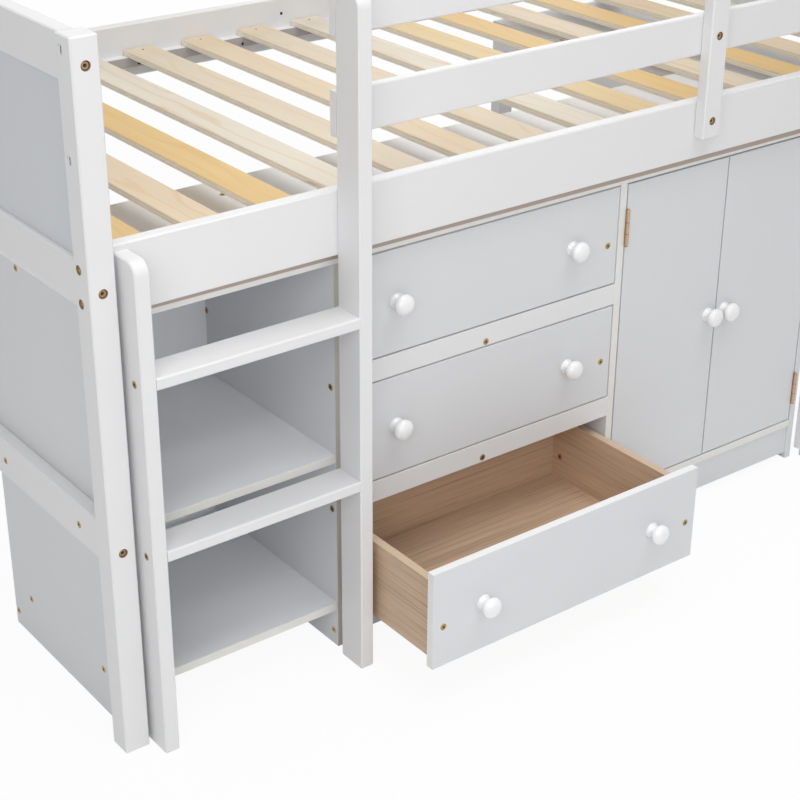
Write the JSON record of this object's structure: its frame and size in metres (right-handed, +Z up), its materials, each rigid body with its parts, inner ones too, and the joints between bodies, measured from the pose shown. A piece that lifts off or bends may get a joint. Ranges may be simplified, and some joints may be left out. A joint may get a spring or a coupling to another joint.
{
  "type": "low loft bed",
  "caption": "Low loft bed with a slatted deck over a cabinet of open shelves, drawers and a hinged-door cupboard, a front ladder, a guard rail and a pull-out desk.",
  "frame": {"origin": "on the floor, at the middle of the footprint that includes the drawer shown open", "axes": "+X along the bed from the ladder end to the desk end, +Y from the ladder side to the back, +Z up"},
  "size_m": [2.014, 1.322, 1.14],
  "materials": {
    "white_paint": "satin white paint on wood",
    "white_laminate": "smooth white laminate on board",
    "oak_laminate": "brown oak-grain laminate with pale edges",
    "plywood": "bare sanded plywood",
    "pine": "bare planed pine",
    "gloss_white": "gloss white paint",
    "brass": "bright brass plating",
    "white_plastic": "matt white"
  },
  "bodies": {
    "bed": {"front_left_post": "white_paint", "back_left_post": "white_paint", "left_low_rail": "white_paint", "left_mid_rail": "white_paint", "left_top_rail": "white_paint", "left_end_panel": "white_laminate", "front_right_post": "white_paint", "back_right_post": "white_paint", "right_low_rail": "white_paint", "right_mid_rail": "white_paint", "right_top_rail": "white_paint", "right_end_panel": "white_laminate", "front_side_rail": "white_paint", "back_side_rail": "white_paint", "slat_ledgers": "white_paint", "bed_slats": "plywood", "ladder_left_stile": "white_paint", "ladder_right_stile": "white_paint", "ladder_rungs": "white_paint", "guard_lower_board": "white_paint", "guard_upper_board": "white_paint", "guard_post": "white_paint", "cabinet_left_panel": "white_laminate", "cabinet_left_divider": "white_laminate", "cabinet_right_divider": "white_laminate", "cabinet_right_panel": "white_laminate", "cabinet_top": "white_laminate", "cabinet_back": "white_laminate", "open_bay_bottom": "white_laminate", "open_bay_shelf": "white_laminate", "drawer_rails": "white_laminate", "toe_skirts": "white_laminate", "cupboard_bottom": "white_laminate", "cupboard_shelf": "white_laminate", "drawer_runners": "pine", "hinge_frame_leaves": "brass"},
    "drawer_1": {"drawer_1_front": "white_laminate", "drawer_1_box": "oak_laminate", "drawer_1_bottom": "oak_laminate", "drawer_1_knobs": "gloss_white"},
    "drawer_2": {"drawer_2_front": "white_laminate", "drawer_2_box": "oak_laminate", "drawer_2_bottom": "oak_laminate", "drawer_2_knobs": "gloss_white"},
    "drawer_3": {"drawer_3_front": "white_laminate", "drawer_3_box": "oak_laminate", "drawer_3_bottom": "oak_laminate", "drawer_3_knobs": "gloss_white"},
    "left_door": {"left_door": "white_laminate", "left_door_knob": "gloss_white", "left_hinge_leaves": "brass"},
    "right_door": {"right_door": "white_laminate", "right_door_knob": "gloss_white", "right_hinge_leaves": "brass"},
    "desk": {"desk_top": "white_laminate", "desk_legs": "white_paint", "desk_aprons": "white_paint", "desk_feet": "white_plastic"}
  },
  "joints": [
    {"name": "drawer_1_slide", "type": "slide", "parent": "bed", "child": "drawer_1", "axis": [0, -1, 0], "range_m": [0, 0.28]},
    {"name": "drawer_2_slide", "type": "slide", "parent": "bed", "child": "drawer_2", "axis": [0, -1, 0], "range_m": [0, 0.28]},
    {"name": "drawer_3_slide", "type": "slide", "parent": "bed", "child": "drawer_3", "axis": [0, -1, 0], "range_m": [-0.237, 0.043]},
    {"name": "left_door_hinge", "type": "hinge", "parent": "bed", "child": "left_door", "pos_m": [0.0567, -0.397, 0.3995], "axis": [0, 0, -1], "range_deg": [0, 85]},
    {"name": "right_door_hinge", "type": "hinge", "parent": "bed", "child": "right_door", "pos_m": [0.5645, -0.397, 0.3995], "axis": [0, 0, 1], "range_deg": [0, 85]},
    {"name": "desk_slide", "type": "slide", "parent": "bed", "child": "desk", "axis": [0, -1, 0], "range_m": [0, 0.9]}
  ]
}
